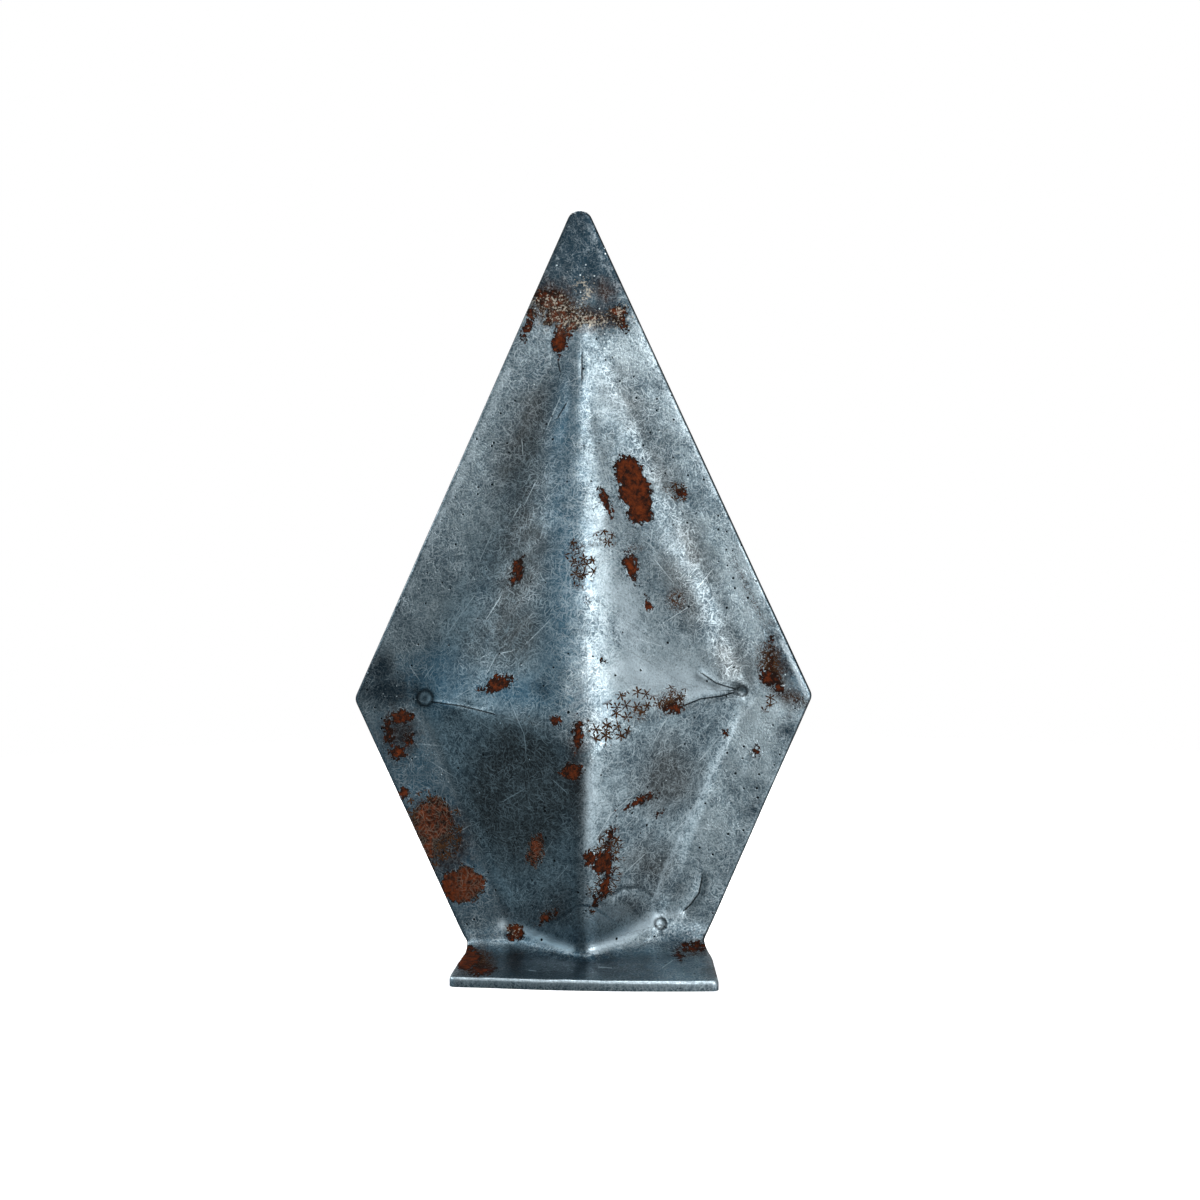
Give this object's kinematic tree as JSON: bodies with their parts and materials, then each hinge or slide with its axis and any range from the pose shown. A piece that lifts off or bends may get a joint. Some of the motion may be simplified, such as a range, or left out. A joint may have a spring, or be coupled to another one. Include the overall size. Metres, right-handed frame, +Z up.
{
  "type": "railing spear finial",
  "caption": "Spear-shaped railing finial of pressed steel sheets set back to back, with a raised diamond and a foot turned out to sit on the end of a square tube.",
  "frame": {"origin": "middle of the underside of the square foot, on the plane where the two sheets meet", "axes": "+Z up the spear to its tip, +X across the spear to its right side corner, +Y from the front face to the back face"},
  "size_m": [0.0488, 0.0254, 0.0795],
  "materials": {
    "pressed_steel": "bare mild steel, dulled by handling, with rust patches and heat tint at the spot welds"
  },
  "bodies": {
    "root": {"front_pressing": "pressed_steel", "back_pressing": "pressed_steel"}
  },
  "joints": []
}
